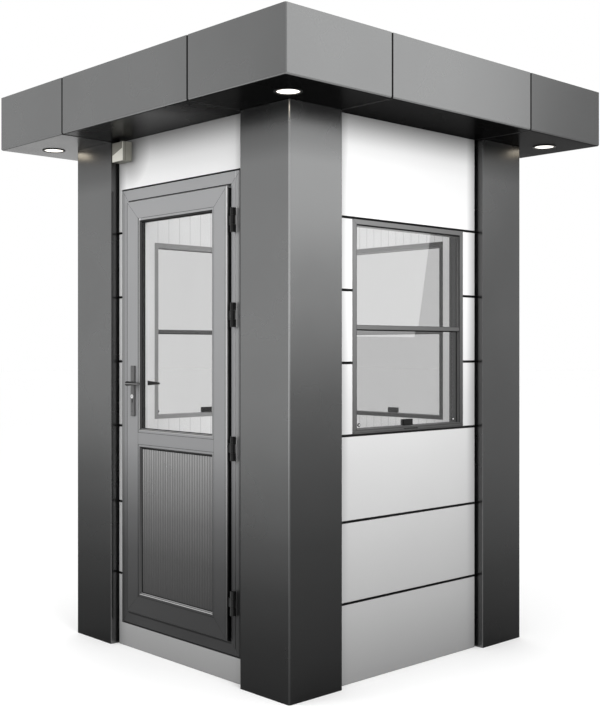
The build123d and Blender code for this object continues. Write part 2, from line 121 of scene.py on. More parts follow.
WINDOW_LOW, WINDOW_HIGH = corners("right_window_frame")
WINDOW_FACE = 0.023
WINDOW_SILL_FACE = 0.019
WINDOW_HALF = WINDOW_HIGH.y
WINDOW_INNER = WINDOW_HALF - WINDOW_FACE
WINDOW_FOOT = WINDOW_LOW.z
WINDOW_SILL = WINDOW_FOOT + WINDOW_SILL_FACE
WINDOW_TOP = WINDOW_HIGH.z
WINDOW_HEAD = WINDOW_TOP - WINDOW_FACE
RAIL_LOW = 1.4465
RAIL_TOP = 1.4655
UPPER_PANE_FRONT = -corners("right_window_glass")[1].x
LOWER_PANE_FRONT = -corners("right_window_glass")[0].x - 0.004
RAIL_FRONT = UPPER_PANE_FRONT - 0.002
PLUG_X = 0.308
PLUG_HEIGHT = WINDOW_SILL + 0.016
PLUG_FRONT = LOWER_PANE_FRONT - 0.004

# Lines on a face: how far they stand out of it, how deep they go, and how wide they are
LINE_OUT = 0.0001
SEAM_OUT = 0.00015
LINE_IN = 0.001
SEAM = 0.0009
DOT = 0.0035  # radius of a small screw or plug
GASKET = 0.002
GASKET_OUT = 0.0015
GASKET_IN = 0.0002
WINDOW_TRACKS = (0.0095, 0.0165, 0.024, 0.046, 0.05)  # behind the wall's face

# Colours
SHEET = (0.2, 0.202, 0.202)
# Darker copies of the sheet, painted shade: front left column; back right column and its roof corner
SIDE_SHEET = (0.186, 0.188, 0.188)
FAR_SHEET = (0.105, 0.106, 0.106)
PROFILE = (0.315, 0.317, 0.322)
WARM = (1.0, 0.86, 0.66)

# Surfaces: where most values of a noise lie, how far grain and clouding change a colour, how wide they are in
# metres, and the bump of the grain as strength and depth
NOISE_RANGE = (0.3, 0.7)
GRAIN_RANGE = (0.35, 0.65)
GRAIN_SHADE = 0.06
CLOUD = 0.35
CLOUDING = (0.97, 1.03)
PEEL = 0.0025
FINE_PEEL = 0.0008
PEEL_BUMP = (0.25, 0.00004)
FINE_BUMP = (0.25, 0.00003)

# Painted shade towards the ground and under the soffit, and painted light where a level passes 1, as (height,
# level)
RAMP_TOP = 2.6
SHEET_SHADE_Y = (
    (0.0, 0.1), (0.2, 0.12), (0.4, 0.17), (0.6, 0.28), (0.79, 0.48), (0.98, 0.75), (1.17, 0.92),
    (1.36, 0.98), (1.7, 1.0), (2.1, 1.0), (2.17, 0.76), (2.31, 0.55), (2.33, 1.0), (2.6, 1.0),
)
SHEET_SHADE_X = (
    (0.0, 0.09), (0.2, 0.115), (0.4, 0.14), (0.6, 0.185), (0.79, 0.28), (0.98, 0.385), (1.17, 0.52),
    (1.36, 0.8), (1.55, 1.0), (2.1, 1.0), (2.17, 0.8), (2.31, 0.6), (2.33, 1.0), (2.6, 1.0),
)
FAR_SHADE_X = (
    (0.0, 0.1), (0.11, 0.14), (0.36, 0.28), (0.61, 0.52), (0.85, 0.7), (1.11, 0.82), (1.5, 1.0),
    (2.14, 1.0), (2.2, 0.75), (2.31, 0.5), (2.33, 1.18), (2.6, 1.18),
)
DOOR_SHADE = (
    (0.0, 0.085), (0.25, 0.09), (0.45, 0.15), (0.62, 0.29), (0.8, 0.56), (0.95, 0.83), (1.2, 0.93),
    (1.6, 1.0), (2.2, 1.15),
)
WHITE_SHADE = (
    (0.0, 0.27), (0.11, 0.33), (0.28, 0.42), (0.52, 0.51), (0.72, 0.59), (0.9, 0.65), (1.15, 0.76),
    (1.4, 0.92), (1.6, 1.0), (2.14, 1.0), (2.2, 0.93), (2.26, 0.72), (2.32, 0.45),
)
WINDOW_SHADE = ((0.0, 0.3), (1.02, 0.36), (1.15, 0.5), (1.57, 0.83), (1.75, 1.0), (2.6, 1.0))

# Shine of the soffit at a glance, from the left wall to the right, as (share of two metres, level)
UNDER_GLANCE = ((0.0, 0.95), (0.268, 0.85), (0.272, 0.5), (0.58, 0.58), (0.7, 0.3), (0.85, 0.1))

# Painted reflection on the panes, a pale glow: its slanting edge on the right wall as (y, z), its foot there,
# the softness of both, and its strengths
REFLECTION_LOW = (0.058, 1.469)
REFLECTION_HIGH = (0.140, 1.877)
REFLECTION_FOOT = 1.418
REFLECTION_BLUR = 0.001
REFLECTION_WEAK = 0.12
REFLECTION_STRONG = 0.62
DOOR_REFLECTION = 0.15

# Middle of the soft shade round the junction box, as (x, z)
BOX_MIDDLE = (-0.365, 2.26)


# Node trees

class Tree:
    """A material's node tree, with short calls to add and join nodes."""

    def __init__(self, name):
        self.material = bpy.data.materials.new(name)
        self.material.use_nodes = True
        self.nodes = self.material.node_tree.nodes
        self.links = self.material.node_tree.links
        self.shader = self.nodes["Principled BSDF"]
        self.place = self.add("ShaderNodeTexCoord").outputs["Object"]

    def fill(self, socket, value):
        """Joins another node's output to an input, or sets the input's own value."""
        if isinstance(value, bpy.types.NodeSocket):
            self.links.new(value, socket)
        else:
            socket.default_value = value

    def add(self, kind, **values):
        """A node, with its inputs set by name."""
        node = self.nodes.new(kind)
        for key, value in values.items():
            self.fill(node.inputs[key.replace("_", " ")], value)
        return node

    def set(self, **values):
        """Sets inputs of the material's shader by name."""
        for key, value in values.items():
            self.fill(self.shader.inputs[key.replace("_", " ")], value)

    def math(self, operation, *values):
        node = self.nodes.new("ShaderNodeMath")
        node.operation = operation
        for socket, value in zip(node.inputs, values):
            self.fill(socket, value)
        return node.outputs[0]

    def above(self, value, limit):
        return self.math("GREATER_THAN", value, limit)

    def below(self, value, limit):
        return self.math("LESS_THAN", value, limit)

    def product(self, a, b):
        """Two values multiplied. Of two masks, it is where both are 1."""
        return self.math("MULTIPLY", a, b)

    def axis(self, name):
        node = self.add("ShaderNodeSeparateXYZ", Vector=self.place)
        return node.outputs[name]

    def reach(self, name):
        """How far a point is from the middle of the cabin along an axis."""
        return self.math("ABSOLUTE", self.axis(name))

    def facing(self, name):
        """How far the surface faces along an axis, from -1 to 1."""
        node = self.add("ShaderNodeSeparateXYZ", Vector=self.add("ShaderNodeTexCoord").outputs["Normal"])
        return node.outputs[name]

    def within(self, value, low, high):
        """1 where value lies between low and high, and 0 elsewhere."""
        return self.product(self.above(value, low), self.below(value, high))

    def noise(self, size, detail=2.0, stretch=None):
        """A noise whose patches are about as wide as size, in metres."""
        place = self.place
        if stretch:
            scaled = self.nodes.new("ShaderNodeVectorMath")
            scaled.operation = "MULTIPLY"
            self.fill(scaled.inputs[0], place)
            self.fill(scaled.inputs[1], stretch)
            place = scaled.outputs[0]
        node = self.add("ShaderNodeTexNoise", Vector=place, Scale=1 / size, Detail=detail)
        return node.outputs["Fac"]

    def span(self, value, low, high, to_low=0.0, to_high=1.0):
        """Carries value from the range low to high to another range, and stops at its ends."""
        node = self.add("ShaderNodeMapRange", Value=value)
        for socket, limit in zip(node.inputs[1:5], (low, high, to_low, to_high)):
            self.fill(socket, limit)
        node.clamp = True
        return node.outputs["Result"]

    def spread(self, noise, low=0.0, high=1.0):
        """A noise carried to the range low to high."""
        return self.span(noise, *NOISE_RANGE, low, high)

    def rough(self, noise, level, swing=0.03):
        """A roughness about a level, a little uneven with a noise."""
        return self.spread(noise, level - swing, level + swing)

    def mix(self, factor, a, b, blend="MIX"):
        node = self.nodes.new("ShaderNodeMix")
        node.data_type = "RGBA"
        node.blend_type = blend
        self.fill(node.inputs[0], factor)
        for socket, colour in ((node.inputs[6], a), (node.inputs[7], b)):
            self.fill(socket, (*colour, 1.0) if isinstance(colour, tuple) else colour)
        return node.outputs[2]

    def shade(self, colour, level):
        """A colour multiplied by a level or by another colour."""
        return self.mix(1.0, colour, level, "MULTIPLY")

    def choose(self, mask, a, b):
        """The number b where mask is 1, and a elsewhere."""
        node = self.nodes.new("ShaderNodeMix")
        for index, value in ((0, mask), (2, a), (3, b)):
            self.fill(node.inputs[index], value)
        return node.outputs[0]

    def ramp(self, value, stops):
        """Grey levels by value: stops are (position, level)."""
        node = self.nodes.new("ShaderNodeValToRGB")
        self.fill(node.inputs[0], value)
        elements = node.color_ramp.elements
        while len(elements) < len(stops):
            elements.new(0.5)
        for element, (position, level) in zip(elements, stops):
            element.position = position
            element.color = (level, level, level, 1.0)
        return node.outputs["Color"]

    def by_height(self, stops):
        """A level that changes with height: stops are (metres, level)."""
        height = self.math("DIVIDE", self.axis("Z"), RAMP_TOP)
        return self.ramp(height, [(metres / RAMP_TOP, level) for metres, level in stops])

    def bump(self, height, strength, distance):
        node = self.add("ShaderNodeBump", Strength=strength, Distance=distance, Height=height)
        self.fill(self.shader.inputs["Normal"], node.outputs["Normal"])


def grey(level):
    return (level, level, level)


def dimmed(tint, share):
    return tuple(level * share for level in tint)


def folded_sheet(name, tint, glance, shade_x):
    """Coated sheet of the columns and the roof edge, with painted shade and a painted highlight.

    Painted shade: darker by height and towards the far ends of the roof edge, and near black on the soffit.
    The inner folds are an even grey, and the outer folds at the corners have a painted highlight.
    glance is the strength of its shine, and shade_x the painted shading by height on the right and left walls.
    """
    tree = Tree(name)
    cloud = tree.noise(CLOUD, 3.0)
    colour = tree.mix(tree.spread(cloud), dimmed(tint, CLOUDING[0]), dimmed(tint, CLOUDING[1]))
    fleck = tree.noise(0.006, 1.0)
    colour = tree.mix(tree.span(fleck, *GRAIN_RANGE, 0.0, GRAIN_SHADE), colour, grey(0.0))
    x = tree.reach("X")
    y = tree.reach("Y")
    z = tree.axis("Z")
    along_x = tree.above(x, y)
    shade = tree.mix(along_x, tree.by_height(SHEET_SHADE_Y), tree.by_height(shade_x))
    shaded = tree.shade(colour, shade)
    # painted shade: the roof edge grows darker towards its far ends
    far_end = tree.mix(
        along_x,
        tree.span(tree.axis("X"), 0.3, 1.0, 1.0, 0.82),
        tree.span(tree.axis("Y"), -0.1, 0.6, 1.0, 0.84),
    )
    on_roof_edge = tree.above(z, SOFFIT + SOFFIT_BAND)
    shaded = tree.mix(on_roof_edge, shaded, tree.shade(shaded, far_end))
    back_of_face = tree.below(tree.math("MAXIMUM", x, y), COLUMN_FACE - 0.0005)
    along = tree.math("MINIMUM", x, y)
    # the inner folds by the walls: an even grey in place of the painted shade by height
    in_fold = tree.product(back_of_face, tree.below(along, FOLD_EDGE))
    colour = tree.mix(in_fold, shaded, grey(0.14))
    # painted highlight: the outer folds at the corners 1.9 times paler
    outer_fold = tree.product(back_of_face, tree.above(along, FOLD_EDGE))
    colour = tree.mix(outer_fold, colour, tree.shade(shaded, grey(1.9)))
    # painted shade: the soffit near black
    under = tree.within(z, SOFFIT - SOFFIT_BAND, SOFFIT + SOFFIT_BAND)
    colour = tree.mix(under, colour, grey(0.022))
    under_glance = tree.ramp(tree.span(tree.axis("X"), -1.0, 1.0), UNDER_GLANCE)
    tree.set(
        Base_Color=colour,
        Roughness=tree.rough(cloud, 0.26),
        Metallic=tree.span(under, 0.0, 1.0, 1.0, 0.9),
        Specular_Tint=tree.mix(under, grey(glance), under_glance),
    )
    tree.bump(tree.noise(PEEL), 0.1, 0.00004)
    return tree.material


def cassette_coat():
    """White coated cassettes with a fine speckle and painted shade: darker by height, in soft shade by the
    columns and round the junction box, and near black on faces that look up or down, inside the joints.
    """
    tree = Tree("white_panel")
    x = tree.axis("X")
    y = tree.axis("Y")
    z = tree.axis("Z")
    cloud = tree.noise(CLOUD, 3.0)
    peel = tree.noise(0.003, 2.0)
    colour = tree.mix(tree.spread(cloud), grey(0.92), grey(0.94))
    colour = tree.shade(colour, tree.by_height(WHITE_SHADE))
    # painted shade by the columns, strongest high up, and round the junction box
    along = tree.math("MINIMUM", tree.reach("X"), tree.reach("Y"))
    depth = tree.span(z, 0.3, 1.2, 0.9, 0.55)
    near_column = tree.span(along, CLADDING_END - 0.06, CLADDING_END - 0.01)
    by_column = tree.math("SUBTRACT", 1.0, tree.product(near_column, tree.math("SUBTRACT", 1.0, depth)))
    from_box = tree.math("POWER", tree.math("SUBTRACT", x, BOX_MIDDLE[0]), 2.0)
    from_box = tree.math("ADD", from_box, tree.math("POWER", tree.math("SUBTRACT", z, BOX_MIDDLE[1]), 2.0))
    by_box = tree.span(tree.math("SQRT", from_box), 0.05, 0.16, 0.45, 1.0)
    by_box = tree.math("MAXIMUM", by_box, tree.above(y, -CORE_FACE))
    colour = tree.shade(colour, tree.product(by_column, by_box))
    colour = tree.mix(tree.span(peel, *GRAIN_RANGE, 0.0, 0.05), colour, grey(0.0))
    # painted shade: faces that look up or down, inside the joints, near black
    in_joint = tree.above(tree.math("ABSOLUTE", tree.facing("Z")), 0.5)
    colour = tree.mix(in_joint, colour, grey(0.01))
    tree.set(Base_Color=colour, Roughness=tree.rough(cloud, 0.5))
    tree.bump(peel, 0.25, 0.0001)
    return tree.material


def lined_wall():
    """Room side: white boards with fine upright grooves. Side behind the cassettes: black foil."""
    tree = Tree("lined_core")
    x = tree.reach("X")
    y = tree.reach("Y")
    along_x = tree.above(y, x)
    run = tree.choose(along_x, tree.axis("Y"), tree.axis("X"))
    closer = tree.span(along_x, 0.0, 1.0, 1.0, 1.33)
    part = tree.math("PINGPONG", tree.product(run, closer), 0.034)
    groove = tree.below(part, tree.span(along_x, 0.0, 1.0, 0.0013, 0.0022))
    low = tree.below(tree.axis("Z"), SOFFIT - 0.001)
    groove = tree.product(groove, low)
    cloud = tree.noise(0.4, 3.0)
    white = tree.mix(tree.spread(cloud), grey(0.82), grey(0.86))
    lined = tree.mix(groove, white, grey(0.55))
    outside = tree.above(tree.math("MAXIMUM", x, y), CORE_FACE - 0.0006)
    outside = tree.product(outside, low)
    colour = tree.mix(outside, lined, grey(0.006))
    tree.set(Base_Color=colour, Roughness=tree.rough(cloud, 0.5, 0.05))
    tree.bump(tree.math("SUBTRACT", 1.0, groove), 0.5, 0.001)
    return tree.material


def tinted_glass(name, density):
    """Grey-tinted, see-through glass with faint streaks left by cleaning.
    Its painted reflection, a pale glow, is set by the caller.
    """
    tree = Tree(name)
    streak = tree.span(tree.noise(0.25, 4.0, stretch=(1.0, 1.0, 0.25)), 0.35, 0.7)
    tree.set(
        Base_Color=tree.mix(streak, grey(0.02), grey(0.03)),
        Alpha=tree.span(streak, 0.0, 1.0, density, density + 0.01),
        Roughness=0.02,
        Specular_IOR_Level=0.2,
        # colour of the glow of the painted reflection, streaked like the glass
        Emission_Color=tree.mix(streak, grey(0.99), grey(0.95)),
    )
    return tree


def window_glass():
    """Window panes with a painted reflection, a pale glow that is strong on the right wall's, up to its
    slanting edge.
    """
    tree = tinted_glass("clear_glass", 0.2)
    y = tree.axis("Y")
    z = tree.axis("Z")
    rise = tree.math("SUBTRACT", z, REFLECTION_LOW[1])
    slope = (REFLECTION_HIGH[0] - REFLECTION_LOW[0]) / (REFLECTION_HIGH[1] - REFLECTION_LOW[1])
    edge = tree.math("ADD", REFLECTION_LOW[0], tree.product(rise, slope))
    before_edge = tree.span(tree.math("SUBTRACT", edge, y), -REFLECTION_BLUR, REFLECTION_BLUR)
    above_foot = tree.span(z, REFLECTION_FOOT - REFLECTION_BLUR, REFLECTION_FOOT + REFLECTION_BLUR)
    right_wall = tree.above(tree.axis("X"), ROOM_FACE)
    strong = tree.product(tree.product(before_edge, above_foot), right_wall)
    tree.set(Emission_Strength=tree.span(strong, 0.0, 1.0, REFLECTION_WEAK, REFLECTION_STRONG))
    return tree.material


def door_pane():
    """The door's pane, with the same faint painted reflection, a pale glow, all over."""
    tree = tinted_glass("door_pane", 0.07)
    tree.set(Emission_Strength=DOOR_REFLECTION)
    return tree.material


def window_coat():
    """Dark grey window frames with painted light and shade: the face paler than the rebates and undersides,
    and darker low down and towards the back; the outer reveals a little paler than the other rebates, and the
    left window's rebates and room side painted pale, as lit from the right window.
    """
    tree = Tree("window_profile")
    x = tree.reach("X")
    y = tree.reach("Y")
    on_face = tree.above(tree.math("MAXIMUM", x, y), WALL_FACE - 0.0035)
    cloud = tree.noise(0.3, 3.0)
    # painted shade: the face darker towards the back
    far_side = tree.span(tree.axis("Y"), -WINDOW_HALF, WINDOW_HALF, 1.0, 0.6)
    level = tree.product(tree.spread(cloud, *CLOUDING), far_side)
    face = tree.shade(grey(0.22), tree.by_height(WINDOW_SHADE))
    # painted light and shade: rebates dark, the left window's pale as lit, the outer reveals a little paler
    lit_side = tree.below(tree.axis("X"), -ROOM_FACE + 0.03)
    inside = tree.mix(lit_side, grey(0.042), grey(0.3))
    outer_reveal = tree.above(tree.math("MAXIMUM", x, y), -LOWER_PANE_FRONT)
    inside = tree.mix(outer_reveal, inside, grey(0.1))
    colour = tree.mix(on_face, inside, tree.shade(face, level))
    peel = tree.noise(PEEL)
    tree.set(Base_Color=colour, Roughness=tree.rough(cloud, 0.4), Specular_IOR_Level=0.22)
    tree.bump(peel, *PEEL_BUMP)
    return tree.material


def door_coat(name, places):
    """Satin grey coating of the door with painted shade low down and painted light at the top; places gives
    where it is paler, darker or white, as (mask, colour) pairs.
    """
    tree = Tree(name)
    cloud = tree.noise(CLOUD, 3.0)
    peel = tree.noise(PEEL)
    colour = tree.mix(tree.spread(cloud), dimmed(PROFILE, CLOUDING[0]), PROFILE)
    for mask, patch in places(tree):
        colour = tree.mix(mask, colour, patch)
    # painted shade by height, and painted light near the top
    colour = tree.shade(colour, tree.by_height(DOOR_SHADE))
    tree.set(
        Base_Color=colour,
        Roughness=tree.rough(cloud, 0.4),
        Metallic=0.3,
        Specular_IOR_Level=0.2,
    )
    tree.bump(peel, *PEEL_BUMP)
    return tree.material


def leaf_places(tree):
    """On the hinge side: a painted highlight on the rounded edge, a dark painted line of shade by the groove
    inside it, and on the leaf's side a painted highlight at the front fading into painted shade in the gap.
    The room side is white.
    """
    x = tree.axis("X")
    # painted highlight on the rounded edge, and painted shade by the groove beside it
    edge = tree.above(x, LEAF_HALF - 0.0088)
    crease = tree.within(x, LEAF_HALF - 0.0105, LEAF_HALF - 0.0085)
    on_side = tree.above(tree.facing("X"), 0.6)
    # painted highlight fading into painted shade, on the leaf's side in the gap by the hinges
    side_light_and_shade = tree.product(on_side, tree.above(x, LIGHT_HALF + 0.01))
    room_side = tree.above(tree.axis("Y"), PANE_FRONT + 0.0065)
    side = tree.mix(tree.span(tree.axis("Y"), LEAF_FRONT, LEAF_FRONT + 0.015), grey(0.42), grey(0.02))
    return ((edge, grey(0.58)), (crease, grey(0.09)), (room_side, grey(0.8)), (side_light_and_shade, side))


def frame_places(tree):
    """The side of the frame's step has a painted highlight, and a shallow track runs down each outer band."""
    x = tree.axis("X")
    from_step = tree.math("ABSOLUTE", tree.math("SUBTRACT", x, DOOR_HALF - DOOR_STEP))
    # painted highlight on the side of the step
    step = tree.below(from_step, 0.0006)
    track = tree.within(tree.math("ABSOLUTE", x), DOOR_HALF - 0.015, DOOR_HALF - 0.008)
    track = tree.product(track, tree.within(tree.axis("Z"), DOOR_FOOT + 0.011, DOOR_HEAD - 0.011))
    return ((track, grey(0.22)), (step, grey(0.68)))


def hinge_coat():
    """Black knuckles and arms. The frame plate behind them is painted paler than the frame, painted light that
    lifts it to the frame's tone, and darker low down with painted shade.
    """
    tree = Tree("hinge_coat")
    peel = tree.noise(FINE_PEEL)
    black = tree.mix(tree.spread(peel), grey(0.008), grey(0.012))
    # painted light and shade: the plate paler than the frame, and darker by height
    paint = tree.shade(grey(0.68), tree.by_height(DOOR_SHADE))
    plate = tree.above(tree.axis("Y"), HINGE_PLATE - 0.0003)
    tree.set(
        Base_Color=tree.mix(plate, black, paint),
        Roughness=tree.rough(peel, 0.33),
        Metallic=tree.span(plate, 0.0, 1.0, 0.0, 0.3),
        Specular_IOR_Level=0.2,
    )
    tree.bump(peel, *FINE_BUMP)
    return tree.material


def lever_coat():
    """Satin black lever, with a painted highlight along the outer grip."""
    tree = Tree("lever_coat")
    peel = tree.noise(FINE_PEEL)
    black = tree.mix(tree.spread(peel), grey(0.006), grey(0.01))
    # painted highlight: a pale line along the middle of the outer grip
    from_ridge = tree.math("SUBTRACT", tree.axis("Z"), HANDLE_HEIGHT - 0.0005)
    painted_highlight = tree.span(tree.math("ABSOLUTE", from_ridge), 0.0008, 0.0022, 1.0, 0.0)
    painted_highlight = tree.product(painted_highlight, tree.below(tree.axis("Y"), PLATE_FRONT - 0.012))
    tree.set(
        Base_Color=tree.mix(painted_highlight, black, grey(0.28)),
        Roughness=tree.rough(peel, 0.3),
        Specular_IOR_Level=0.15,
    )
    tree.bump(peel, *FINE_BUMP)
    return tree.material


def lock_coat():
    """The lock cylinder: a bright round barrel over a dark tail."""
    tree = Tree("lock_coat")
    mark = tree.noise(0.0006, 2.0, stretch=(1.0, 0.15, 1.0))
    bright = tree.mix(tree.spread(mark), grey(0.95), grey(0.85))
    barrel = tree.above(tree.axis("Z"), LOCK_HEIGHT - 0.0085)
    tree.set(
        Base_Color=tree.mix(barrel, grey(0.05), bright),
        Metallic=tree.span(barrel, 0.0, 1.0, 0.2, 0.6),
        Roughness=tree.rough(mark, 0.35, 0.05),
    )
    tree.bump(mark, 0.2, 0.00003)
    return tree.material


def box_coat():
    """Cream plastic of the junction box; on its lid, painted light below a slanting edge and along the right
    and bottom rims, and painted shade above that edge.
    """
    tree = Tree("cream_plastic")
    low, high = corners("junction_box")
    x = tree.axis("X")
    z = tree.axis("Z")
    cloud = tree.noise(0.05, 3.0)
    tall = high.z - low.z
    slope = 0.35 * tall / (high.x - low.x)
    across = tree.math("SUBTRACT", x, low.x)
    edge = tree.math("ADD", low.z + 0.33 * tall, tree.product(across, slope))
    # painted light below the slanting edge and along the right and bottom rims, painted shade above it
    lit = tree.span(tree.math("SUBTRACT", edge, z), -0.001, 0.001)
    lit = tree.math("MAXIMUM", lit, tree.above(x, high.x - 0.004))
    lit = tree.math("MAXIMUM", lit, tree.below(z, low.z + 0.004))
    on_lid = tree.below(tree.axis("Y"), low.y + 0.0012)
    lid = tree.mix(lit, (0.2, 0.197, 0.17), (0.74, 0.73, 0.66))
    colour = tree.mix(tree.spread(cloud), (0.36, 0.355, 0.305), (0.38, 0.375, 0.325))
    colour = tree.mix(on_lid, colour, lid)
    tree.set(Base_Color=colour, Roughness=tree.rough(cloud, 0.5, 0.05))
    tree.bump(tree.noise(FINE_PEEL), *FINE_BUMP)
    return tree.material


def reeded_coat():
    """Satin grey panel with painted light and shade: groove sides towards the hinges pale, the other groove
    sides and the floors dark, and darker by height.
    """
    tree = Tree("reeded_panel")
    cloud = tree.noise(CLOUD, 3.0)
    floor = tree.above(tree.axis("Y"), PANE_FRONT + 0.0006)
    # painted light and shade by facing: groove sides towards the hinges pale, the others and the floors dark
    side = tree.facing("X")
    colour = tree.mix(floor, grey(0.27), grey(0.11))
    colour = tree.mix(tree.above(side, 0.5), colour, grey(0.6))
    colour = tree.mix(tree.below(side, -0.5), colour, grey(0.04))
    colour = tree.shade(colour, tree.by_height(DOOR_SHADE))
    tree.set(
        Base_Color=tree.shade(colour, tree.spread(cloud, *CLOUDING)),
        Roughness=tree.rough(cloud, 0.3),
        Metallic=0.5,
        Specular_IOR_Level=0.3,
    )
    tree.bump(tree.noise(PEEL), 0.2, 0.00004)
    return tree.material


def bead_coat():
    """Coated beads with painted light and shade: pale on top and in strips by the pane on the lever's side,
    dark below and to the right, and darker by height.
    """
    tree = Tree("bead_profile")
    cloud = tree.noise(0.3, 3.0)
    colour = tree.shade(PROFILE, tree.by_height(DOOR_SHADE))
    colour = tree.shade(colour, tree.spread(cloud, *CLOUDING))
    x = tree.axis("X")
    y = tree.axis("Y")
    # painted light and shade on the lever-side bead by the pane: a darker outer strip and a pale inner one
    by_pane = tree.above(tree.axis("Z"), LIGHTS[1][0] + BEAD_WIDTH)
    middle = -LIGHT_HALF + 0.007
    for low, high, level in ((-LIGHT_HALF, middle, 0.24), (middle, -LIGHT_HALF + BEAD_WIDTH, 0.55)):
        colour = tree.mix(tree.product(by_pane, tree.within(x, low, high)), colour, grey(level))
    # painted shade on sides facing right and on undersides, painted light on the tops
    colour = tree.mix(tree.span(tree.facing("X"), 0.2, 0.6), colour, grey(0.055))
    slope = tree.facing("Z")
    colour = tree.mix(tree.below(slope, -0.3), colour, grey(0.008))
    ledge = tree.mix(tree.within(y, LEAF_FRONT + 0.0035, LEAF_FRONT + 0.006), grey(0.27), grey(0.06))
    ledge = tree.mix(tree.below(y, LEAF_FRONT + 0.0035), ledge, grey(0.42))
    colour = tree.mix(tree.above(slope, 0.3), colour, ledge)
    tree.set(
        Base_Color=colour,
        Roughness=tree.rough(cloud, 0.35),
        Metallic=0.3,
        Specular_IOR_Level=0.2,
    )
    tree.bump(tree.noise(PEEL), *PEEL_BUMP)
    return tree.material


def plain(name, tint, rough, metallic=0.0, patch=0.05, shine=0.5):
    """An even coat or plastic, with faint clouding and a fine grain."""
    tree = Tree(name)
    cloud = tree.noise(patch, 3.0)
    colour = tree.mix(tree.spread(cloud), dimmed(tint, 0.95), dimmed(tint, 1.05))
    peel = tree.noise(FINE_PEEL)
    tree.set(
        Base_Color=tree.mix(tree.span(peel, *GRAIN_RANGE, 0.0, GRAIN_SHADE), colour, grey(0.0)),
        Roughness=tree.rough(cloud, rough),
        Metallic=metallic,
        Specular_IOR_Level=shine,
    )
    tree.bump(peel, *FINE_BUMP)
    return tree.material


def brushed(name, tint, rough):
    """Bright metal with fine turning marks."""
    tree = Tree(name)
    mark = tree.noise(0.0006, 2.0, stretch=(1.0, 0.15, 1.0))
    colour = tree.mix(tree.spread(mark), tint, dimmed(tint, 0.8))
    tree.set(Base_Color=colour, Metallic=1.0, Roughness=tree.spread(mark, rough, rough + 0.15))
    tree.bump(mark, 0.2, 0.00003)
    return tree.material


def diffuser():
    """Opal lens of a downlight, glowing warm white with a faint uneven tint."""
    tree = Tree("lamp_diffuser")
    glow = tree.noise(0.02, 1.0)
    warm = tree.mix(tree.spread(glow), (1.0, 0.97, 0.9), (1.0, 0.95, 0.86))
    tree.set(Base_Color=warm, Roughness=0.4, Emission_Color=warm, Emission_Strength=2.2)
    return tree.material


def membrane():
    """Welded roofing sheet with overlaps every metre."""
    tree = Tree("roof_membrane")
    lap = tree.below(tree.math("PINGPONG", tree.axis("X"), 0.5), 0.006)
    cloud = tree.noise(0.3, 5.0)
    colour = tree.mix(tree.spread(cloud), grey(0.14), grey(0.2))
    colour = tree.mix(lap, colour, grey(0.09))
    tree.set(Base_Color=colour, Roughness=0.8)
    tree.bump(tree.math("ADD", tree.noise(0.004, 3.0), lap), 0.4, 0.001)
    return tree.material


def floor_cover():
    """Flecked sheet flooring."""
    tree = Tree("floor_covering")
    fleck = tree.noise(0.004, 2.0)
    cloud = tree.noise(0.25, 3.0)
    colour = tree.mix(tree.spread(cloud), grey(0.26), grey(0.32))
    colour = tree.mix(tree.span(fleck, 0.6, 0.68), colour, grey(0.42))
    tree.set(Base_Color=colour, Roughness=0.5)
    tree.bump(fleck, 0.2, 0.0002)
    return tree.material


MATERIALS = {
    "white_panel": cassette_coat(),
    "lined_core": lined_wall(),
    "grey_sheet": folded_sheet("grey_sheet", SHEET, 0.8, SHEET_SHADE_X),
    "side_sheet": folded_sheet("side_sheet", SIDE_SHEET, 0.65, SHEET_SHADE_X),
    "far_sheet": folded_sheet("far_sheet", FAR_SHEET, 0.9, FAR_SHADE_X),
    "grey_profile": door_coat("grey_profile", frame_places),
    "leaf_profile": door_coat("leaf_profile", leaf_places),
    "window_profile": window_coat(),
    "bead_profile": bead_coat(),
    "dark_seal": plain("dark_seal", grey(0.006), 0.6, shine=0.05),
    "seam_line": plain("seam_line", grey(0.008), 0.5, shine=0.1),
    "white_plastic": plain("white_plastic", grey(0.85), 0.4),
    "reeded_panel": reeded_coat(),
    "clear_glass": window_glass(),
    "door_pane": door_pane(),
    "black_plastic": plain("black_plastic", grey(0.006), 0.5, shine=0.15),
    "black_steel": plain("black_steel", grey(0.008), 0.22),
    "hinge_coat": hinge_coat(),
    "lever_coat": lever_coat(),
    "lock_coat": lock_coat(),
    "grey_steel": plain("grey_steel", grey(0.1), 0.35, 0.3),
    "bright_steel": brushed("bright_steel", grey(0.8), 0.2),
    "lamp_diffuser": diffuser(),
    "cream_plastic": box_coat(),
    "roof_membrane": membrane(),
    "floor_covering": floor_cover(),
    "primed_steel": plain("primed_steel", grey(0.2), 0.6, patch=0.1),
}
SLOT_OF = {part["node"]: part["material_slot"] for part in frame["record"]["subparts"]}


def dress(node, material):
    """Gives a CAD node's object one material on all its slots."""
    piece = NODES[node]
    if not piece.data.materials:
        piece.data.materials.append(material)
    for place in piece.material_slots:
        place.material = material


for node, slot_name in SLOT_OF.items():
    dress(node, MATERIALS[slot_name])
for wall in WALLS[1:]:
    dress(f"{wall}_window_frame", MATERIALS["window_profile"])
# painted shade: the darker copies of the sheet on the back right column, its roof corner and the front left
# column
for node in ("fascia_corner_back_right", "back_right_column"):
    dress(node, MATERIALS["far_sheet"])
dress("front_left_column", MATERIALS["side_sheet"])
dress("door_glass", MATERIALS["door_pane"])
dress("door_beads", MATERIALS["bead_profile"])
dress("door_leaf", MATERIALS["leaf_profile"])
dress("hinges_frame_side", MATERIALS["hinge_coat"])
dress("hinges_leaf_side", MATERIALS["hinge_coat"])
dress("lever_handle", MATERIALS["lever_coat"])
dress("lock_cylinder", MATERIALS["lock_coat"])


# Added pieces

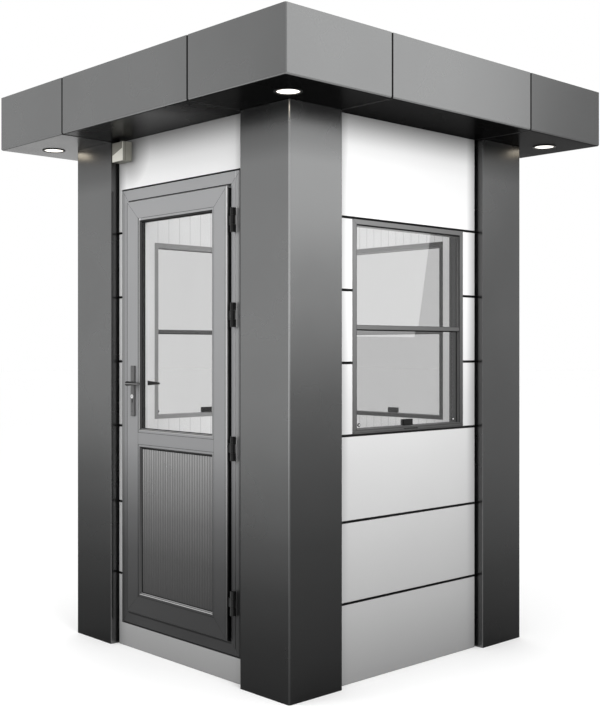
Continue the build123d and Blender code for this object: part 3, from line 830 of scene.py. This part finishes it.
class Shape:
    """Boxes, frames, strips and discs in one mesh. All are given as on the door wall, then turned."""

    def __init__(self):
        self.points = []
        self.faces = []

    def add(self, points, faces, wall="front"):
        start = len(self.points)
        for x, y, z in points:
            for _ in range(WALLS.index(wall)):
                x, y = -y, x
            self.points.append((x, y, z))
        self.faces += [tuple(start + index for index in face) for face in faces]

    def prism(self, outline, front, back, wall="front"):
        """An outline in x and z carried from one depth to another."""
        count = len(outline)
        points = [(x, front, z) for x, z in outline] + [(x, back, z) for x, z in outline]
        faces = [tuple(range(count)), tuple(reversed(range(count, 2 * count)))]
        for index in range(count):
            after = (index + 1) % count
            faces.append((index, index + count, after + count, after))
        self.add(points, faces, wall)

    def box(self, low, high, wall="front"):
        outline = [(low[0], low[2]), (high[0], low[2]), (high[0], high[2]), (low[0], high[2])]
        self.prism(outline, low[1], high[1], wall)

    def strip(self, start, end, width, front, back, wall="front"):
        """A straight line of the given width on a face of the door wall."""
        along = Vector(end) - Vector(start)
        side = Vector((-along.y, along.x)).normalized() * width / 2
        outline = [Vector(start) - side, Vector(end) - side, Vector(end) + side, Vector(start) + side]
        self.prism([tuple(corner) for corner in outline], front, back, wall)

    def ring(self, half, bottom, top, width, front, back, wall="front"):
        """A mitred frame."""
        outer = [(-half, bottom), (half, bottom), (half, top), (-half, top)]
        inner = [
            (-half + width, bottom + width), (half - width, bottom + width),
            (half - width, top - width), (-half + width, top - width),
        ]
        for index in range(4):
            after = (index + 1) % 4
            self.prism([outer[index], outer[after], inner[after], inner[index]], front, back, wall)

    def disc(self, x, z, radius, front, back, wall="front", sides=24):
        """A round head with an eased rim."""
        rounds = ((radius, back), (radius, front + 0.25 * (back - front)), (0.8 * radius, front))
        points = []
        for reach, y in rounds:
            for index in range(sides):
                angle = 2 * math.pi * index / sides
                points.append((x + reach * math.cos(angle), y, z + reach * math.sin(angle)))
        faces = [tuple(range(sides)), tuple(reversed(range(2 * sides, 3 * sides)))]
        for level in range(2):
            for index in range(sides):
                after = (index + 1) % sides
                low = level * sides
                faces.append((low + index, low + after, low + sides + after, low + sides + index))
        self.add(points, faces, wall)

    def piece(self, name, material, body, slot_name):
        """The finished object, riding on a body."""
        mesh = bpy.data.meshes.new(name)
        mesh.from_pydata(self.points, [], self.faces)
        mesh.materials.append(MATERIALS[material])
        work = bmesh.new()
        work.from_mesh(mesh)
        bmesh.ops.recalc_face_normals(work, faces=work.faces)
        work.to_mesh(mesh)
        work.free()
        made = bpy.data.objects.new(name, mesh)
        bpy.context.scene.collection.objects.link(made)
        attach(made, body)


def make_door_seals():
    """Gaskets, dark lines round the beads, a dark strip of painted shade in the leaf's groove, and strips
    closing the rest of it.
    """
    seals = Shape()
    gap = 0.0005
    around = (LEAF_FRONT - LINE_OUT, LEAF_FRONT + 0.0016)
    for bottom, top in LIGHTS:
        rim = (LIGHT_HALF - BEAD_WIDTH, bottom + BEAD_WIDTH, top - BEAD_WIDTH)
        seals.ring(*rim, 0.003, PANE_FRONT - 0.0015, PANE_FRONT + 0.0005)
        seals.ring(LIGHT_HALF + gap, bottom - gap, top + gap, 0.0012, *around)
    seals.ring(*rim, 0.0015, PANE_FRONT + 0.0061, PANE_FRONT + 0.017)
    line = LEAF_HALF - 0.0108
    foot = LEAF_FOOT + 0.01
    head = LEAF_HEAD - 0.01
    # painted shade: a dark strip in the groove on the hinge side
    seals.strip((line, foot), (line, head), 0.0018, LEAF_FRONT - LINE_OUT, LEAF_FRONT + 0.0014)
    seals.piece("door_seals_and_groove_shade", "dark_seal", "door", "black_plastic")

    cover = Shape()
    width = 0.0016
    faces = (LEAF_FRONT - 0.00005, LEAF_FRONT + 0.0011)
    cover.strip((-line, foot), (-line, head), width, *faces)
    for z in (foot + width / 2, head - width / 2):
        cover.strip((-line, z), (line, z), width, *faces)
    cover.piece("leaf_cover_strips", "leaf_profile", "door", "grey_profile")


def make_seams():
    """Mitre and butt lines of the leaf and the door frame, the dark joints round the frame, and a painted
    shadow on the frame under the leaf.
    """
    leaf = Shape()
    frame_lines = Shape()
    frame_seals = Shape()
    on_leaf = (LEAF_FRONT - SEAM_OUT, LEAF_FRONT + LINE_IN)
    on_band = (-WALL_FACE - SEAM_OUT, -WALL_FACE + LINE_IN)
    on_step = (STEP_FRONT - SEAM_OUT, STEP_FRONT + LINE_IN)
    rounding = 0.003
    foot = LEAF_FOOT + rounding
    head = LEAF_HEAD - rounding
    (panel_foot, panel_head), (pane_foot, pane_head) = LIGHTS
    for side in (-1, 1):
        edge = side * (LEAF_HALF - rounding)
        bead = side * LIGHT_HALF
        leaf.strip((edge, head), (bead, pane_head), SEAM, *on_leaf)
        leaf.strip((edge, foot), (bead, panel_foot), SEAM, *on_leaf)
        leaf.strip((bead, panel_head), (bead, pane_foot), SEAM, *on_leaf)
        for end, way in ((DOOR_HEAD, -1), (DOOR_FOOT, 1)):
            outer = (side * DOOR_HALF, end)
            step = (side * (DOOR_HALF - DOOR_STEP), end + way * DOOR_STEP)
            inner = (side * (DOOR_HALF - DOOR_FACE), end + way * DOOR_FACE)
            frame_lines.strip(outer, step, SEAM, *on_band)
            frame_lines.strip(step, inner, SEAM, *on_step)
    edge = -LEAF_HALF + 0.0006
    leaf.strip((edge, foot), (edge, head), SEAM, *on_leaf)

    opening = DOOR_HALF - DOOR_FACE
    head = DOOR_HEAD - DOOR_FACE + 0.0014
    foot = DOOR_FOOT + DOOR_FACE - 0.0055
    on_step = (STEP_FRONT - LINE_OUT, STEP_FRONT + LINE_IN)
    # the dark line at the head of the opening: the gap above the leaf, and painted shadow
    frame_seals.strip((-opening, head), (opening, head), 0.0028, *on_step)
    # painted shadow: a dark strip on the frame under the leaf's foot
    frame_lines.strip((-opening, foot), (opening, foot), 0.006, *on_step)
    on_wall = (-WALL_FACE - 0.0002, -WALL_FACE + LINE_IN)
    head = DOOR_HEAD + 0.0005
    edge = DOOR_HALF - 0.002
    frame_seals.strip((-DOOR_HALF, head), (DOOR_HALF, head), 0.003, *on_wall)
    frame_seals.strip((edge, DOOR_FOOT), (edge, DOOR_HEAD), 0.005, *on_wall)
    leaf.piece("leaf_seams", "seam_line", "door", "grey_profile")
    frame_lines.piece("door_frame_seams_and_shadow", "seam_line", "cabin", "grey_profile")
    frame_seals.piece("door_frame_seals", "dark_seal", "cabin", "black_plastic")


def make_screws():
    """Screws of the handle plates, with crossed slots, and the key faces of the lock."""
    heads = Shape()
    slots = Shape()
    arm = 0.0021
    for face, way in ((PLATE_FRONT, -1), (PLATE_BACK, 1)):
        for z in (HANDLE_HEIGHT + 0.055, HANDLE_HEIGHT - 0.127):
            heads.disc(HANDLE_X, z, DOT, face + way * 0.0009, face - way * 0.0005)
            for reach, rise in ((arm, 0.0), (0.0, arm)):
                low = (HANDLE_X - reach, z - rise)
                high = (HANDLE_X + reach, z + rise)
                slots.strip(low, high, SEAM, face + way * 0.0010, face + way * 0.0003)
    heads.piece("plate_screws", "grey_steel", "door", "grey_steel")
    slots.piece("plate_screw_slots", "dark_seal", "door", "black_plastic")

    key = Shape()
    cut = Shape()
    low = (HANDLE_X, LOCK_HEIGHT - 0.0042)
    high = (HANDLE_X, LOCK_HEIGHT + 0.0042)
    for face, way in ((CYLINDER_FRONT, -1), (CYLINDER_BACK, 1)):
        key.disc(HANDLE_X, LOCK_HEIGHT, 0.0065, face + way * 0.0008, face - way * 0.0005)
        cut.strip(low, high, 0.0016, face + way * 0.0009, face)
    key.piece("key_faces", "bright_steel", "door", "bright_steel")
    cut.piece("key_slots", "dark_seal", "door", "black_plastic")


def make_window_lines():
    """Track lines on the jambs, gaskets, seams and the sill's slot, and the white centres of the plugs."""
    lines = Shape()
    plugs = Shape()
    on_face = (-WALL_FACE - LINE_OUT, -WALL_FACE + LINE_IN)
    on_rail = (RAIL_FRONT - LINE_OUT, RAIL_FRONT + LINE_IN)
    in_slot = (-WALL_FACE + 0.0004, -WALL_FACE + 0.003)
    upper = (UPPER_PANE_FRONT - GASKET_OUT, UPPER_PANE_FRONT + GASKET_IN)
    lower = (LOWER_PANE_FRONT - GASKET_OUT, LOWER_PANE_FRONT + GASKET_IN)
    reach = WINDOW_INNER - 0.0005
    slot = WINDOW_FOOT + 0.0105
    head = WINDOW_HEAD + 0.0019
    track_foot = WINDOW_SILL + 0.001
    track_head = WINDOW_HEAD - 0.001
    for wall in WALLS[1:]:
        for side in (-1, 1):
            inner = side * WINDOW_INNER
            for depth in WINDOW_TRACKS:
                y = depth - WALL_FACE
                low, high = sorted((inner - side * 0.0002, inner + side * LINE_IN))
                lines.box((low, y - 0.0007, track_foot), (high, y + 0.0007, track_head), wall)
            plugs.disc(side * PLUG_X, PLUG_HEIGHT, DOT, PLUG_FRONT - 0.0006, PLUG_FRONT + 0.0004, wall)
        lines.strip((-0.0455, slot), (0.0455, slot), 0.0036, *in_slot, wall)
        for z in (WINDOW_FOOT + 0.0045, WINDOW_FOOT + 0.0145):
            lines.strip((-WINDOW_HALF, z), (WINDOW_HALF, z), SEAM, *on_face, wall)
        for z in (RAIL_LOW + 0.0006, RAIL_TOP - 0.0006):
            lines.strip((-reach, z), (reach, z), 0.0012, *on_rail, wall)
        low = (-WINDOW_INNER, upper[0], WINDOW_HEAD - GASKET)
        high = (WINDOW_INNER, upper[1], WINDOW_HEAD)
        lines.box(low, high, wall)
        lines.strip((-reach, head), (reach, head), 0.0038, *on_face, wall)
        low = (-WINDOW_INNER, lower[0], RAIL_LOW - 0.004)
        high = (WINDOW_INNER, lower[1], RAIL_LOW + 0.001)
        lines.box(low, high, wall)
        for side in (-1, 1):
            low, high = sorted((side * WINDOW_INNER, side * (WINDOW_INNER - GASKET)))
            lines.box((low, lower[0], WINDOW_SILL), (high, lower[1], RAIL_LOW), wall)
            edge = side * (WINDOW_INNER + 0.0007)
            lines.strip((edge, WINDOW_SILL), (edge, WINDOW_HEAD), 0.0014, *on_face, wall)
            for end, inner in ((WINDOW_TOP, WINDOW_HEAD), (WINDOW_FOOT, WINDOW_SILL)):
                lines.strip((side * WINDOW_HALF, end), (side * WINDOW_INNER, inner), 0.0007, *on_face, wall)
    lines.piece("window_lines", "dark_seal", "cabin", "black_plastic")
    plugs.piece("plug_centres", "white_plastic", "cabin", "cream_plastic")


def make_joint_seals():
    """Black strips that close the joints between the roof edge's cassettes: front, soffit and top."""
    seals = Shape()
    low = SOFFIT - 0.0002
    high = ROOF_TOP - 0.0015
    front = -ROOF_EDGE + 0.001
    back = -ROOF_EDGE + 0.0042
    for wall in WALLS:
        for side in (-1, 1):
            left, right = sorted((side * (JOINT_END - 0.0098), side * (JOINT_END - 0.0002)))
            seals.box((left, front, low + 0.002), (right, back, high), wall)
            under_left = (left - 0.004, -ROOF_EDGE + 0.003, low)
            under_right = (right + 0.004, -CORE_FACE - 0.0005, low + 0.0035)
            seals.box(under_left, under_right, wall)
            seals.box((left, back, high - 0.002), (right, -ROOF_EDGE + 0.08, high), wall)
    seals.piece("joint_seals", "dark_seal", "cabin", "black_plastic")


def make_box_line():
    """The line between the junction box and its lid, and the lid's two screws."""
    line = Shape()
    low, high = corners("junction_box")
    y = low.y + 0.014
    out = 0.0002
    for side_low, side_high in (
        ((low.x - out, low.z), (low.x + LINE_IN, high.z)),
        ((high.x - LINE_IN, low.z), (high.x + out, high.z)),
        ((low.x, low.z - out), (high.x, low.z + LINE_IN)),
        ((low.x, high.z - LINE_IN), (high.x, high.z + out)),
    ):
        line.box((side_low[0], y - 0.0006, side_low[1]), (side_high[0], y + 0.0006, side_high[1]))
    line.piece("box_lid_line", "dark_seal", "cabin", "black_plastic")
    screws = Shape()
    inset = 0.012
    for x, z in ((low.x + inset, high.z - inset), (high.x - inset, low.z + inset)):
        screws.disc(x, z, DOT, low.y - 0.0006, low.y + 0.0005)
    screws.piece("box_lid_screws", "cream_plastic", "cabin", "cream_plastic")


make_door_seals()
make_seams()
make_screws()
make_window_lines()
make_joint_seals()
make_box_line()


# Camera, stage and light

def make_camera():
    data = bpy.data.cameras.new("camera")
    data.sensor_width = SENSOR
    data.lens = FOCAL_PIXELS / FRAME_SIZE[1] * SENSOR
    data.shift_x = (FRAME_SIZE[0] / 2 - PRINCIPAL[0]) / FRAME_SIZE[1]
    data.shift_y = (PRINCIPAL[1] - FRAME_SIZE[1] / 2) / FRAME_SIZE[1]
    camera = bpy.data.objects.new("camera", data)
    camera.location = CAMERA_PLACE
    camera.rotation_euler = (math.radians(90), 0, CAMERA_AZIMUTH)
    bpy.context.scene.collection.objects.link(camera)
    bpy.context.scene.camera = camera


def make_floor():
    size = 60.0
    mesh = bpy.data.meshes.new("floor")
    points = [(-size, -size, 0), (size, -size, 0), (size, size, 0), (-size, size, 0)]
    mesh.from_pydata(points, [], [(0, 1, 2, 3)])
    floor = bpy.data.objects.new("floor", mesh)
    bpy.context.scene.collection.objects.link(floor)
    tree = Tree("studio_floor")
    cloud = tree.noise(1.5)
    colour = tree.mix(tree.spread(cloud), grey(0.94), grey(0.95))
    tree.set(Base_Color=colour, Roughness=0.9, Emission_Color=(1, 1, 1, 1), Emission_Strength=0.052)
    mesh.materials.append(tree.material)
    floor.visible_diffuse = False


def area_light(name, place, target, size, power, colour=(1, 1, 1), gloss=False, matt=True):
    """A soft box that the camera doesn't see, lighting glossy surfaces, matt ones, or both."""
    data = bpy.data.lights.new(name, "AREA")
    data.shape = "RECTANGLE"
    data.size = size[0]
    data.size_y = size[1]
    data.energy = power
    data.color = colour
    light = bpy.data.objects.new(name, data)
    light.location = place
    direction = Vector(target) - Vector(place)
    light.rotation_euler = direction.to_track_quat("-Z", "Y").to_euler()
    light.visible_camera = False
    light.visible_glossy = gloss
    light.visible_diffuse = matt
    bpy.context.scene.collection.objects.link(light)


def make_world():
    """White sky that darkens below the horizon, so that undersides stay dark."""
    world = bpy.data.worlds.new("studio")
    bpy.context.scene.world = world
    world.use_nodes = True
    nodes = world.node_tree.nodes
    links = world.node_tree.links
    direction = nodes.new("ShaderNodeTexCoord")
    split = nodes.new("ShaderNodeSeparateXYZ")
    fade = nodes.new("ShaderNodeMapRange")
    fade.inputs["From Min"].default_value = -0.35
    fade.inputs["From Max"].default_value = -0.05
    fade.inputs["To Min"].default_value = 0.04
    fade.inputs["To Max"].default_value = 1.0
    links.new(direction.outputs["Generated"], split.inputs[0])
    links.new(split.outputs["Z"], fade.inputs["Value"])
    links.new(fade.outputs["Result"], nodes["Background"].inputs["Strength"])
    nodes["Background"].inputs["Color"].default_value = (1, 1, 1, 1)


def make_light():
    area_light("key", (4.4, -1.4, 2.6), (0.7, 0.0, 1.8), (2.6, 2.0), 125)
    area_light("fill", (-2.2, -5.0, 2.6), (-0.2, -0.7, 1.4), (3.0, 2.0), 120)
    area_light("sheen", (3.0, 1.0, 3.2), (0.75, -0.4, 2.2), (3.2, 2.4), 21, gloss=True, matt=False)
    area_light("room", (0, 0, 2.29), (0, 0, 0), (1.0, 1.0), 6)
    area_light("wash_left", (0.35, 0, 1.0), (-0.65, 0, 1.0), (1.0, 1.2), 3.2)
    area_light("wash_back", (0, -0.35, 1.0), (0, 0.65, 1.0), (1.0, 1.2), 1.4)
    for x in (-LAMP_PLACE, LAMP_PLACE):
        for y in (-LAMP_PLACE, LAMP_PLACE):
            target = (0.85 * x, 0.85 * y, 1.6)
            area_light("lamp", (x, y, SOFFIT - 0.01), target, (0.08, 0.08), 0.08, WARM, gloss=True)
    bpy.context.scene.view_settings.view_transform = "Standard"


make_camera()
make_floor()
make_world()
make_light()
